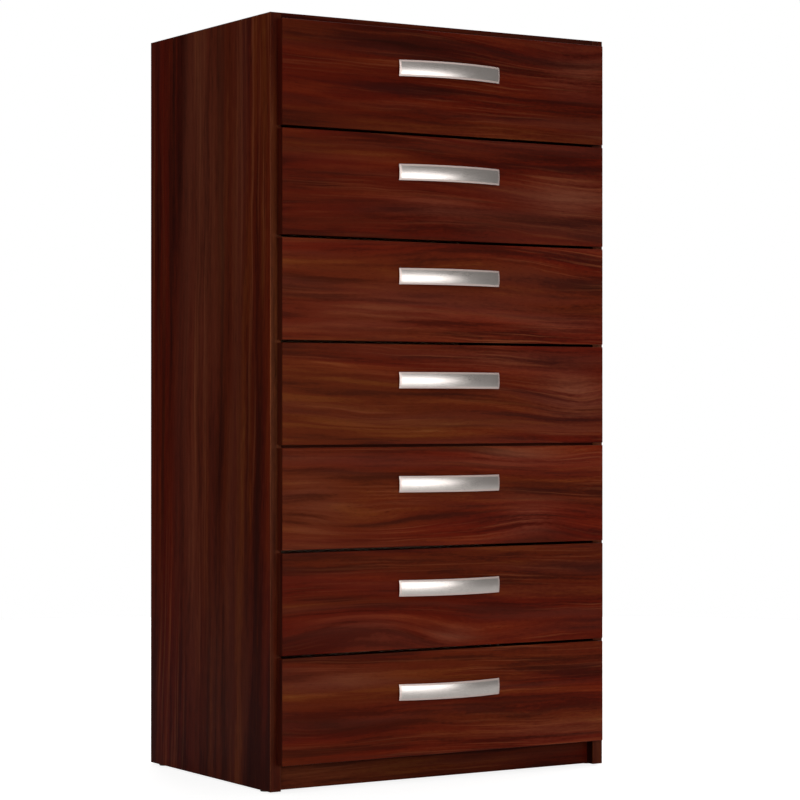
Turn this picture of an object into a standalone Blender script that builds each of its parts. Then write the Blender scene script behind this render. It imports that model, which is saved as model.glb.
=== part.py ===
"""Tall chest of seven drawers: laminated boards, grooved drawer boxes on plastic runner strips,
bowed strip handles. Metres, +Z up, the drawer fronts face -Y, the floor is at Z = 0."""

import math

import bpy
import bmesh
from mathutils import Vector

# ---------------------------------------------------------------- driving dimensions
CHEST_WIDTH = 0.600
PANEL_HEIGHT = 1.142
CARCASS_DEPTH = 0.390
BOARD = 0.018
FIT_GAP = 0.0003
CARCASS_EDGE_ROUND = 0.0005

GLIDE_THICKNESS = 0.002
GLIDE_RADIUS = 0.008
GLIDE_FACETS = 24
GLIDE_PIN_RADIUS = 0.0013
GLIDE_PIN_LENGTH = 0.010
GLIDE_INSET = 0.030

PLINTH_HEIGHT = 0.0427
PLINTH_BOARD = 0.016
PLINTH_RECESS = 0.015
REAR_PLINTH_INSET = 0.040

FRONT_HEIGHTS = (0.156, 0.156, 0.150, 0.150, 0.150, 0.150, 0.157)
FRONT_THICKNESS = 0.016
FRONT_STANDOFF = 0.001
FRONT_SIDE_INSET = 0.011
FRONT_TOP_INSET = 0.010
FRONT_GAP = 0.004
FRONT_EDGE_ROUND = 0.001

BOX_HEIGHT = 0.108
BOX_RISE = 0.026
BOX_WALL = 0.012
BOX_LENGTH = 0.345
BOX_SIDE_CLEARANCE = 0.0015

RUNNER_HEIGHT = 0.012
RUNNER_THICKNESS = 0.006
RUNNER_EDGE_ROUND = 0.0012
RUNNER_START = 0.010
RUNNER_LENGTH = 0.335
RUNNER_HOLE_RADIUS = 0.0018
RUNNER_SINK_RADIUS = 0.0036
RUNNER_HOLE_PLACES = (0.15, 0.85)
RUNNER_GROOVE_HEIGHT = 0.013
RUNNER_GROOVE_DEPTH = 0.0055

DRAWER_BOTTOM = 0.003
BOTTOM_GROOVE_DEPTH = 0.006
BOTTOM_GROOVE_RISE = 0.010

BACK_SHEET = 0.003
REBATE_DEPTH = 0.0048
REBATE_WIDTH = 0.009
JOINT_STRIP_HEIGHT = 0.014
JOINT_STRIP_SKIN = 0.001

RAIL_DEPTH = 0.080
RAIL_THICKNESS = 0.016

HANDLE_LENGTH = 0.181
HANDLE_HEIGHT = 0.025
HANDLE_THICKNESS = 0.003
HANDLE_BOW = 0.015
HANDLE_CROWN = 0.0015
HANDLE_RIM = 0.0008
HANDLE_FIRST_DROP = 0.070
HANDLE_PITCH = 0.156
HANDLE_HOLES = 0.160
HANDLE_GRID = (16, 4)
POST_RADIUS = 0.0045
POST_FACETS = 16
SCREW_CORE_RADIUS = 0.0016
SCREW_CORE_DEPTH = 0.005
SCREW_HOLE_RADIUS = 0.0025
PIN_FACETS = 12
SMALL_HOLE_FACETS = 10
SMOOTH_ANGLE = math.radians(40)
RIM_ANGLE = math.radians(50)

# ---------------------------------------------------------------- derived places
HANDLE_REACH = FIT_GAP + HANDLE_THICKNESS + HANDLE_BOW + HANDLE_CROWN
OVERALL_DEPTH = CARCASS_DEPTH + FRONT_STANDOFF + FRONT_THICKNESS + HANDLE_REACH
FRONT_FACE_Y = -OVERALL_DEPTH / 2 + HANDLE_REACH
FRONT_BACK_Y = FRONT_FACE_Y + FRONT_THICKNESS
CARCASS_Y = FRONT_BACK_Y + FRONT_STANDOFF
REAR_Y = CARCASS_Y + CARCASS_DEPTH
REBATE_Y = REAR_Y - REBATE_DEPTH

FLOOR_CLEARANCE = GLIDE_THICKNESS
TOP_Z = FLOOR_CLEARANCE + PANEL_HEIGHT
PLINTH_TOP_Z = FLOOR_CLEARANCE + PLINTH_HEIGHT

OUTER_X = CHEST_WIDTH / 2
INNER_X = OUTER_X - BOARD
BOX_OUTER_X = INNER_X - BOX_SIDE_CLEARANCE
BOX_INNER_X = BOX_OUTER_X - BOX_WALL
BOX_START_Y = FRONT_BACK_Y + FIT_GAP
BOX_END_Y = BOX_START_Y + BOX_LENGTH
SIDES = (("left", -1), ("right", 1))


def front_bottoms():
    """Bottom edge of each drawer front, from the top drawer down."""
    bottoms = []
    top = TOP_Z - FRONT_TOP_INSET
    for height in FRONT_HEIGHTS:
        bottoms.append(top - height)
        top -= height + FRONT_GAP
    return bottoms


def handle_height(number):
    """Centre of a handle; the handles are evenly spaced, whatever the height of the fronts."""
    return TOP_Z - HANDLE_FIRST_DROP - (number - 1) * HANDLE_PITCH


# ---------------------------------------------------------------- scene and materials
def clear_scene():
    for obj in list(bpy.data.objects):
        bpy.data.objects.remove(obj, do_unlink=True)


def new_collection(name):
    collection = bpy.data.collections.new(name)
    bpy.context.scene.collection.children.link(collection)
    return collection


def new_material(name, colour, roughness, metallic=0.0):
    material = bpy.data.materials.new(name)
    material.use_nodes = True
    shader = material.node_tree.nodes["Principled BSDF"]
    shader.inputs["Base Color"].default_value = (*colour, 1.0)
    shader.inputs["Roughness"].default_value = roughness
    shader.inputs["Metallic"].default_value = metallic
    return material


clear_scene()
CHEST = new_collection("tall_chest_of_drawers")
CUTTERS = new_collection("cutters")

LAMINATE = new_material("dark_laminate", (0.045, 0.008, 0.005), 0.35)
FRONT_LAMINATE = new_material("front_laminate", (0.070, 0.014, 0.007), 0.35)
METAL = new_material("brushed_aluminium", (0.55, 0.54, 0.52), 0.30, 1.0)
FOIL = new_material("drawer_foil", (0.62, 0.60, 0.56), 0.55)
HARDBOARD = new_material("hardboard", (0.33, 0.22, 0.14), 0.70)
PLASTIC = new_material("runner_plastic", (0.75, 0.74, 0.70), 0.45)
DARK_PLASTIC = new_material("glide_plastic", (0.03, 0.03, 0.03), 0.50)


# ---------------------------------------------------------------- modelling helpers
def add_object(name, bm, location, material, collection):
    mesh = bpy.data.meshes.new(name)
    bm.to_mesh(mesh)
    bm.free()
    mesh.materials.append(material)
    obj = bpy.data.objects.new(name, mesh)
    obj.location = location
    collection.objects.link(obj)
    return obj


def cube_mesh(size):
    bm = bmesh.new()
    bmesh.ops.create_cube(bm, size=1.0)
    bmesh.ops.scale(bm, vec=Vector(size), verts=bm.verts)
    return bm


def spanned(low, high):
    """Centre and size of the box between two corners."""
    low, high = Vector(low), Vector(high)
    return (low + high) / 2, high - low


def board(name, low, high, material, rounding=0.0):
    """A rectangular board between two corners, with slightly rounded edges."""
    centre, size = spanned(low, high)
    obj = add_object(name, cube_mesh(size), centre, material, CHEST)
    if rounding:
        bevel = obj.modifiers.new("edge_round", "BEVEL")
        bevel.width = rounding
        bevel.segments = 1
    return obj


def smooth_round(obj):
    obj.data.shade_smooth()
    obj.data.set_sharp_from_angle(angle=SMOOTH_ANGLE)
    return obj


def as_cutter(obj):
    obj.hide_render = True
    obj.display_type = "WIRE"
    return obj


def box_cutter(name, low, high):
    centre, size = spanned(low, high)
    return as_cutter(add_object(name, cube_mesh(size), centre, LAMINATE, CUTTERS))


def cone_mesh(radius, depth, facets, top_radius=None):
    bm = bmesh.new()
    end_radius = radius if top_radius is None else top_radius
    bmesh.ops.create_cone(bm, cap_ends=True, segments=facets, radius1=radius, radius2=end_radius,
                          depth=depth)
    return bm


def pin(name, centre, axis, radius, depth, facets=PIN_FACETS, top_radius=None):
    """A cylinder or cone to cut with or to join on; radius is at the end that axis points away from."""
    obj = add_object(name, cone_mesh(radius, depth, facets, top_radius), centre, LAMINATE, CUTTERS)
    obj.rotation_euler = Vector(axis).to_track_quat("Z", "Y").to_euler()
    return as_cutter(smooth_round(obj))


def combine(obj, other, operation):
    modifier = obj.modifiers.new(other.name, "BOOLEAN")
    modifier.operation = operation
    modifier.object = other


def cut(obj, *cutters):
    for cutter in cutters:
        combine(obj, cutter, "DIFFERENCE")


def slider(name):
    """An empty on a drawer's slide axis; its drawer's pieces hang from it."""
    empty = bpy.data.objects.new(name, None)
    empty.empty_display_size = 0.05
    CHEST.objects.link(empty)
    return empty


def hang(obj, parent):
    obj.parent = parent
    obj.location = obj.location - parent.location


# ---------------------------------------------------------------- carcass
def glide_places(side):
    x = side * (OUTER_X - BOARD / 2)
    front = Vector((x, CARCASS_Y + GLIDE_INSET, 0.0))
    rear = Vector((x, REAR_Y - GLIDE_INSET, 0.0))
    return (("front", front), ("rear", rear))


def make_side_panel(label, side):
    outer, inner = side * OUTER_X, side * INNER_X
    low = (min(outer, inner), CARCASS_Y, FLOOR_CLEARANCE)
    high = (max(outer, inner), REAR_Y, TOP_Z)
    panel = board(label + "_side_panel", low, high, LAMINATE, CARCASS_EDGE_ROUND)
    rebate_x = inner + side * REBATE_WIDTH
    past_x = inner - side * BOARD
    rebate_low = (min(rebate_x, past_x), REBATE_Y, -BOARD)
    rebate_high = (max(rebate_x, past_x), REAR_Y + BOARD, TOP_Z - BOARD + REBATE_WIDTH)
    cut(panel, box_cutter(label + "_rebate", rebate_low, rebate_high))
    for where, foot in glide_places(side):
        centre = foot + Vector((0, 0, FLOOR_CLEARANCE + GLIDE_PIN_LENGTH / 2))
        radius = GLIDE_PIN_RADIUS + FIT_GAP
        depth = GLIDE_PIN_LENGTH + 2 * FIT_GAP
        cut(panel, pin(label + where + "_glide_hole", centre, (0, 0, 1), radius, depth))


def make_glides(label, side):
    disc_height = GLIDE_THICKNESS - FIT_GAP
    pin_length = GLIDE_PIN_LENGTH + GLIDE_THICKNESS / 2
    for where, foot in glide_places(side):
        disc = add_object("glide_" + where + "_" + label, cone_mesh(GLIDE_RADIUS, disc_height, GLIDE_FACETS),
                          foot + Vector((0, 0, disc_height / 2)), DARK_PLASTIC, CHEST)
        centre = foot + Vector((0, 0, GLIDE_THICKNESS / 2 + pin_length / 2))
        shank = pin("glide_pin_" + where + label, centre, (0, 0, 1), GLIDE_PIN_RADIUS, pin_length - FIT_GAP)
        combine(smooth_round(disc), shank, "UNION")


def make_top_panel():
    low = (-INNER_X + FIT_GAP, CARCASS_Y, TOP_Z - BOARD)
    high = (INNER_X - FIT_GAP, REAR_Y, TOP_Z)
    panel = board("top_panel", low, high, LAMINATE, CARCASS_EDGE_ROUND)
    cut(panel, box_cutter("top_rebate", (-OUTER_X, REBATE_Y, TOP_Z - 2 * BOARD),
                          (OUTER_X, REAR_Y + BOARD, TOP_Z - BOARD + REBATE_WIDTH)))


def make_bottom_panel():
    low = (-INNER_X + FIT_GAP, CARCASS_Y, PLINTH_TOP_Z + FIT_GAP)
    high = (INNER_X - FIT_GAP, REBATE_Y, PLINTH_TOP_Z + FIT_GAP + BOARD)
    board("bottom_panel", low, high, LAMINATE, CARCASS_EDGE_ROUND)


def make_plinth(name, front_y):
    low = (-INNER_X + FIT_GAP, front_y, FLOOR_CLEARANCE)
    high = (INNER_X - FIT_GAP, front_y + PLINTH_BOARD, PLINTH_TOP_Z)
    board(name, low, high, LAMINATE, CARCASS_EDGE_ROUND)


def make_middle_rail():
    """Half-way up, in the space between the fourth and fifth drawer boxes."""
    bottoms = front_bottoms()
    space_low = bottoms[4] + BOX_RISE + BOX_HEIGHT
    space_high = bottoms[3] + BOX_RISE
    centre_z = (space_low + space_high) / 2
    low = (-INNER_X + FIT_GAP, CARCASS_Y, centre_z - RAIL_THICKNESS / 2)
    high = (INNER_X - FIT_GAP, CARCASS_Y + RAIL_DEPTH, centre_z + RAIL_THICKNESS / 2)
    board("middle_rail", low, high, LAMINATE, CARCASS_EDGE_ROUND)


def make_back():
    """Two hardboard sheets in the rebate, joined edge to edge by a plastic H strip."""
    half_width = INNER_X + REBATE_WIDTH - 2 * FIT_GAP
    front_y = REBATE_Y + FIT_GAP
    top_z = TOP_Z - BOARD + REBATE_WIDTH - FIT_GAP
    joint_z = (FLOOR_CLEARANCE + top_z) / 2
    web = JOINT_STRIP_SKIN / 2 + FIT_GAP
    rear_y = front_y + BACK_SHEET
    for name, low_z, high_z in (("lower", PLINTH_TOP_Z, joint_z - web), ("upper", joint_z + web, top_z)):
        board("back_sheet_" + name, (-half_width, front_y, low_z), (half_width, rear_y, high_z), HARDBOARD)
    half_length = INNER_X - FIT_GAP
    half_web = JOINT_STRIP_SKIN / 2
    slot_low_y, slot_high_y = front_y - FIT_GAP, rear_y + FIT_GAP
    low = (-half_length, slot_low_y - JOINT_STRIP_SKIN, joint_z - JOINT_STRIP_HEIGHT / 2)
    high = (half_length, slot_high_y + JOINT_STRIP_SKIN, joint_z + JOINT_STRIP_HEIGHT / 2)
    strip = board("back_joint_strip", low, high, DARK_PLASTIC)
    cut(strip, box_cutter("joint_slot_low", (-OUTER_X, slot_low_y, joint_z - JOINT_STRIP_HEIGHT),
                          (OUTER_X, slot_high_y, joint_z - half_web)),
        box_cutter("joint_slot_high", (-OUTER_X, slot_low_y, joint_z + half_web),
                   (OUTER_X, slot_high_y, joint_z + JOINT_STRIP_HEIGHT)))


# ---------------------------------------------------------------- drawers
def make_runner(number, label, side, centre_z):
    """Plastic strip on the side panel, with a chamfered outline and two countersunk screw holes."""
    wall_x = side * (INNER_X - FIT_GAP)
    nose_x = wall_x - side * RUNNER_THICKNESS
    start_y = CARCASS_Y + RUNNER_START
    low = (min(wall_x, nose_x), start_y, centre_z - RUNNER_HEIGHT / 2)
    high = (max(wall_x, nose_x), start_y + RUNNER_LENGTH, centre_z + RUNNER_HEIGHT / 2)
    runner = board("drawer_%d_%s_runner" % (number, label), low, high, PLASTIC, RUNNER_EDGE_ROUND)
    sink_depth = RUNNER_SINK_RADIUS - RUNNER_HOLE_RADIUS
    for index, along in enumerate(RUNNER_HOLE_PLACES):
        y = start_y + along * RUNNER_LENGTH
        tag = "%d%s%d" % (number, label, index)
        through = pin("screw_hole_" + tag, ((wall_x + nose_x) / 2, y, centre_z), (side, 0, 0),
                      RUNNER_HOLE_RADIUS, 2 * RUNNER_THICKNESS, SMALL_HOLE_FACETS)
        sink_x = nose_x + side * (sink_depth / 2 - FIT_GAP)
        sink = pin("screw_sink_" + tag, (sink_x, y, centre_z), (side, 0, 0), RUNNER_SINK_RADIUS,
                   sink_depth + 2 * FIT_GAP, SMALL_HOLE_FACETS, RUNNER_HOLE_RADIUS)
        cut(runner, through, sink)


def make_drawer_box(number, base_z, drawer):
    """One foil-wrapped board folded into left side, back and right side."""
    box = board("drawer_%d_box" % number, (-BOX_OUTER_X, BOX_START_Y, base_z),
                (BOX_OUTER_X, BOX_END_Y, base_z + BOX_HEIGHT), FOIL)
    inside = box_cutter("box_inside_%d" % number, (-BOX_INNER_X, BOX_START_Y - BOX_WALL, base_z - BOX_WALL),
                        (BOX_INNER_X, BOX_END_Y - BOX_WALL, base_z + BOX_HEIGHT + BOX_WALL))
    groove_low = base_z + BOTTOM_GROOVE_RISE
    slot = box_cutter("bottom_groove_%d" % number,
                      (-BOX_INNER_X - BOTTOM_GROOVE_DEPTH, BOX_START_Y - BOX_WALL, groove_low),
                      (BOX_INNER_X + BOTTOM_GROOVE_DEPTH, BOX_END_Y - BOX_WALL + BOTTOM_GROOVE_DEPTH,
                       groove_low + DRAWER_BOTTOM + 2 * FIT_GAP))
    cut(box, inside, slot)
    runner_z = base_z + BOX_HEIGHT / 2
    for label, side in SIDES:
        groove_x = side * (BOX_OUTER_X - RUNNER_GROOVE_DEPTH)
        past_x = side * OUTER_X
        low = (min(groove_x, past_x), CARCASS_Y + RUNNER_START / 2, runner_z - RUNNER_GROOVE_HEIGHT / 2)
        high = (max(groove_x, past_x), BOX_END_Y + BOX_WALL, runner_z + RUNNER_GROOVE_HEIGHT / 2)
        cut(box, box_cutter("runner_groove_%d%s" % (number, label), low, high))
    hang(box, drawer)


def make_drawer_bottom(number, base_z, drawer):
    half_width = BOX_INNER_X + BOTTOM_GROOVE_DEPTH - FIT_GAP
    tongue = BOTTOM_GROOVE_DEPTH - FIT_GAP
    low_z = base_z + BOTTOM_GROOVE_RISE + FIT_GAP
    low = (-half_width, FRONT_BACK_Y - tongue, low_z)
    high = (half_width, BOX_END_Y - BOX_WALL + tongue, low_z + DRAWER_BOTTOM)
    hang(board("drawer_%d_bottom" % number, low, high, HARDBOARD), drawer)


def make_drawer_front(number, bottom_z, height, drawer):
    half_width = OUTER_X - FRONT_SIDE_INSET
    front = board("drawer_%d_front" % number, (-half_width, FRONT_FACE_Y, bottom_z),
                  (half_width, FRONT_BACK_Y, bottom_z + height), FRONT_LAMINATE, FRONT_EDGE_ROUND)
    groove_low = bottom_z + BOX_RISE + BOTTOM_GROOVE_RISE
    groove_x = BOX_INNER_X + BOTTOM_GROOVE_DEPTH
    low = (-groove_x, FRONT_BACK_Y - BOTTOM_GROOVE_DEPTH, groove_low)
    high = (groove_x, FRONT_BACK_Y + BOARD, groove_low + DRAWER_BOTTOM + 2 * FIT_GAP)
    cut(front, box_cutter("front_groove_%d" % number, low, high))
    for label, side in SIDES:
        centre = (side * HANDLE_HOLES / 2, FRONT_FACE_Y + FRONT_THICKNESS / 2, handle_height(number))
        cut(front, pin("handle_hole_%d%s" % (number, label), centre, (0, -1, 0), SCREW_HOLE_RADIUS,
                       2 * FRONT_THICKNESS))
    hang(front, drawer)


def handle_offset(along, across):
    """How far the outer face stands off its ends: a bow along the length and a crown across the height."""
    radius = ((HANDLE_LENGTH / 2) ** 2 + HANDLE_BOW ** 2) / (2 * HANDLE_BOW)
    bow = math.sqrt(radius ** 2 - along ** 2) - (radius - HANDLE_BOW)
    crown = HANDLE_CROWN * (1 - (2 * across / HANDLE_HEIGHT) ** 2)
    return bow + crown


def handle_strip(name, centre_z, drawer):
    """A bowed and crowned strip: a grid bent by a formula, then given its thickness."""
    bm = bmesh.new()
    bmesh.ops.create_grid(bm, x_segments=HANDLE_GRID[0], y_segments=HANDLE_GRID[1], size=0.5)
    for vert in bm.verts:
        along = vert.co.x * HANDLE_LENGTH
        across = vert.co.y * HANDLE_HEIGHT
        vert.co = Vector((along, -handle_offset(along, across), across))
    end_face_y = FRONT_FACE_Y - FIT_GAP - HANDLE_THICKNESS
    strip = add_object(name, bm, Vector((0, end_face_y, centre_z)), METAL, CHEST)
    thick = strip.modifiers.new("thickness", "SOLIDIFY")
    thick.thickness = HANDLE_THICKNESS
    thick.offset = -1
    rim = strip.modifiers.new("rim", "BEVEL")
    rim.width = HANDLE_RIM
    rim.segments = 1
    rim.limit_method = "ANGLE"
    rim.angle_limit = RIM_ANGLE
    hang(smooth_round(strip), drawer)
    return strip


def make_handle(number, drawer):
    centre_z = handle_height(number)
    strip = handle_strip("drawer_%d_handle" % number, centre_z, drawer)
    for label, side in SIDES:
        x = side * HANDLE_HOLES / 2
        foot_y = FRONT_FACE_Y - FIT_GAP
        post_length = handle_offset(x, 0.0) + HANDLE_THICKNESS / 2
        tag = "%d%s" % (number, label)
        post = pin("post_" + tag, (x, foot_y - post_length / 2, centre_z), (0, -1, 0), POST_RADIUS,
                   post_length, POST_FACETS)
        core_y = foot_y - (SCREW_CORE_DEPTH - FIT_GAP) / 2
        core = pin("core_" + tag, (x, core_y, centre_z), (0, -1, 0), SCREW_CORE_RADIUS,
                   SCREW_CORE_DEPTH + FIT_GAP, SMALL_HOLE_FACETS)
        combine(strip, post, "UNION")
        cut(strip, core)


def make_drawer(number, bottom_z, height):
    drawer = slider("drawer_%d_slide" % number)
    drawer.location = (0, FRONT_BACK_Y, bottom_z + height / 2)
    base_z = bottom_z + BOX_RISE
    make_drawer_front(number, bottom_z, height, drawer)
    make_handle(number, drawer)
    make_drawer_box(number, base_z, drawer)
    make_drawer_bottom(number, base_z, drawer)
    for label, side in SIDES:
        make_runner(number, label, side, base_z + BOX_HEIGHT / 2)


# ---------------------------------------------------------------- assembly
for side_label, side_sign in SIDES:
    make_side_panel(side_label, side_sign)
    make_glides(side_label, side_sign)
make_top_panel()
make_bottom_panel()
make_plinth("front_plinth", CARCASS_Y + PLINTH_RECESS)
make_plinth("rear_plinth", REAR_Y - REAR_PLINTH_INSET - PLINTH_BOARD)
make_middle_rail()
make_back()
for index, bottom in enumerate(front_bottoms()):
    make_drawer(index + 1, bottom, FRONT_HEIGHTS[index])
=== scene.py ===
"""Looks of the tall chest of seven drawers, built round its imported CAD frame.

Every piece keeps its object at the origin with its mesh in the row frame, so that Object texture
coordinates are metres in the row frame. +Z is up and the drawer fronts face -Y.
"""

import math
import random

import bmesh
import bpy
from mathutils import Matrix, Vector


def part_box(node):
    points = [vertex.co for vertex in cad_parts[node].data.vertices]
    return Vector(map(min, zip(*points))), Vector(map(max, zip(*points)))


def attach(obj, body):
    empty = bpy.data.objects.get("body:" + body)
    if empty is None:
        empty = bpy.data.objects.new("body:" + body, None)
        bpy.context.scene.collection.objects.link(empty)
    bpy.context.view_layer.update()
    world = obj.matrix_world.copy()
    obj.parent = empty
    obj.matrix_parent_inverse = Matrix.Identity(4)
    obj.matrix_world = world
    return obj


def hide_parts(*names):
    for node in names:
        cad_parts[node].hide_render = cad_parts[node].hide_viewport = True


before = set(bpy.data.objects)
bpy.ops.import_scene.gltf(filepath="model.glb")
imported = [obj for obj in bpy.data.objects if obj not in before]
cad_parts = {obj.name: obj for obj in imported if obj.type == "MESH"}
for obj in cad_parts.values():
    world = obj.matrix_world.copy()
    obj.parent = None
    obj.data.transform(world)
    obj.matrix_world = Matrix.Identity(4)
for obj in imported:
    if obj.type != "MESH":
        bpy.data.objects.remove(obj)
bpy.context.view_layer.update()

# ---------------------------------------------------------------- places read from the frame
DRAWERS = range(1, 8)
SIDES = (("left", -1), ("right", 1))

side_low, side_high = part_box("left_side_panel")
top_low, top_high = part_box("top_panel")
front_low, front_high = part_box("drawer_1_front")

OUTER_X = -side_low.x
INNER_X = -side_high.x
CARCASS_Y = side_low.y
REAR_Y = side_high.y
FRONT_FACE_Y = front_low.y
FRONT_BACK_Y = front_high.y
REBATE_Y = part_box("back_sheet_lower")[0].y
BACK_TOP_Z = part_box("back_sheet_upper")[1].z
BASE_UNDER_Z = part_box("bottom_panel")[0].z
PLINTH_BACK_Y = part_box("front_plinth")[1].y

# ---------------------------------------------------------------- sizes of what the looks add, in metres
EDGE_ROUND = 0.0010
CARCASS_ROUND = 0.0005
FOLD_ROUND = 0.0005
BACK_ROUND = 0.0004
BOTTOM_ROUND = 0.0003
EDGE_SEGMENTS = 3
TAPE = 0.0004
FIT_GAP = 0.0003
FOLD_SEAM = 0.00005

HANDLE_HOLES = 0.160
HANDLE_THICKNESS = 0.0026
HANDLE_BOW = 0.015
HANDLE_CROWN = 0.0015
HANDLE_COLUMNS = 46
HANDLE_ROWS = 11
POST_RADIUS = 0.0045
POST_CHAMFER = 0.0003
# share of the handle's thickness that a post reaches into it
POST_SINK = 0.4
RIM_WIDTH = 0.0029
RIM_DROP = 0.0004
RIM_BEVEL = 0.00035
# places of the handle's outer rows and columns, as shares of the rim's width
RIM_STEPS = (0.0, 0.20, 0.5, 0.85, 1.0, 1.12)

BOX_WALL = 0.012
GROOVE_HEIGHT = 0.013
GROOVE_DEPTH = 0.0055
GROOVE_START = 0.005
RAW_END_DEPTH = 0.0001

CAM_RADIUS = 0.0075
CAM_SETBACK = 0.024
CAM_SPREAD = 0.034
CARCASS_CAM_INSET = 0.034
CARCASS_CAM_FRONT = 0.055
CARCASS_CAM_REAR = 0.075
SCREW_SPREAD = HANDLE_HOLES / 2
# places of a runner's screws, as shares of its length
RUNNER_SCREW_PLACES = (0.15, 0.85)
RUNNER_SCREW_RISE = 0.0004
REBATE_WIDTH = 0.009
PIN_SPACING = 0.150
PIN_FOOT = 0.030
PIN_MARGIN = 0.045
PIN_SCATTER = 0.004
PIN_GAPS_ACROSS = 5
PIN_LOW_ROW = 0.009
BLOCK_SIZE = (0.022, 0.018, 0.018)
BLOCK_PLACES = (-0.18, 0.0, 0.18)
BLOCK_ROUND = 0.0012


# ---------------------------------------------------------------- colour and node helpers
def srgb(red, green, blue):
    """Linear colour of a display colour given as 0 to 255."""
    linear = []
    for level in (red, green, blue):
        share = level / 255
        linear.append(share / 12.92 if share <= 0.04045 else ((share + 0.055) / 1.055) ** 2.4)
    return (*linear, 1.0)


# sockets that a Mix node uses for colours
MIX_FACTOR, MIX_FIRST, MIX_SECOND, MIX_RESULT = 0, 6, 7, 2


class Graph:
    """Short ways to add and join nodes in one node tree."""

    def __init__(self, tree):
        self.tree = tree

    def put(self, socket, value):
        if isinstance(value, bpy.types.NodeSocket):
            self.tree.links.new(value, socket)
        else:
            socket.default_value = value

    def node(self, kind, inputs=None, **settings):
        made = self.tree.nodes.new(kind)
        for name, value in settings.items():
            setattr(made, name, value)
        for key, value in (inputs or {}).items():
            self.put(made.inputs[key], value)
        return made

    def math(self, operation, first, second=0.0, clamp=False):
        made = self.node("ShaderNodeMath", {0: first, 1: second}, operation=operation, use_clamp=clamp)
        return made.outputs[0]

    def scaled(self, vector, scale, offset=(0, 0, 0)):
        inputs = {"Vector": vector, "Location": offset, "Scale": scale}
        return self.node("ShaderNodeMapping", inputs).outputs[0]

    def noise(self, vector, scale, detail=2.0, roughness=0.5, offset=(0, 0, 0), distortion=0.0):
        inputs = {"Vector": self.scaled(vector, scale, offset), "Scale": 1.0, "Detail": detail,
                  "Roughness": roughness, "Distortion": distortion}
        return self.node("ShaderNodeTexNoise", inputs).outputs[0]

    def span(self, value, low, high, to_low=0.0, to_high=1.0):
        inputs = {"Value": value, "From Min": low, "From Max": high, "To Min": to_low, "To Max": to_high}
        return self.node("ShaderNodeMapRange", inputs).outputs[0]

    def mix(self, factor, first, second, blend="MIX"):
        made = self.node("ShaderNodeMix", data_type="RGBA", blend_type=blend)
        self.put(made.inputs[MIX_FACTOR], factor)
        self.put(made.inputs[MIX_FIRST], first)
        self.put(made.inputs[MIX_SECOND], second)
        return made.outputs[MIX_RESULT]

    def ramp(self, value, stops, interpolation="EASE"):
        made = self.node("ShaderNodeValToRGB", {0: value})
        made.color_ramp.interpolation = interpolation
        elements = made.color_ramp.elements
        while len(elements) < len(stops):
            elements.new(0.5)
        for element, (place, colour) in zip(elements, stops):
            element.position = place
            element.color = colour
        return made.outputs[0]

    def split(self, vector):
        return self.node("ShaderNodeSeparateXYZ", {0: vector}).outputs

    def join(self, x, y, z):
        return self.node("ShaderNodeCombineXYZ", {0: x, 1: y, 2: z}).outputs[0]

    def bump(self, height, distance, strength):
        inputs = {"Height": height, "Distance": distance, "Strength": strength}
        return self.node("ShaderNodeBump", inputs).outputs[0]


def new_material(name):
    material = bpy.data.materials.new(name)
    material.use_nodes = True
    graph = Graph(material.node_tree)
    shader = material.node_tree.nodes["Principled BSDF"]
    return material, graph, shader


def object_place(graph):
    return graph.node("ShaderNodeTexCoord").outputs["Object"]


# ---------------------------------------------------------------- printed wood
def new_group(name, inputs, outputs):
    tree = bpy.data.node_groups.new(name, "ShaderNodeTree")
    for label, kind in inputs:
        tree.interface.new_socket(label, in_out="INPUT", socket_type=kind)
    for label, kind in outputs:
        tree.interface.new_socket(label, in_out="OUTPUT", socket_type=kind)
    graph = Graph(tree)
    return graph, graph.node("NodeGroupInput"), graph.node("NodeGroupOutput")


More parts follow.
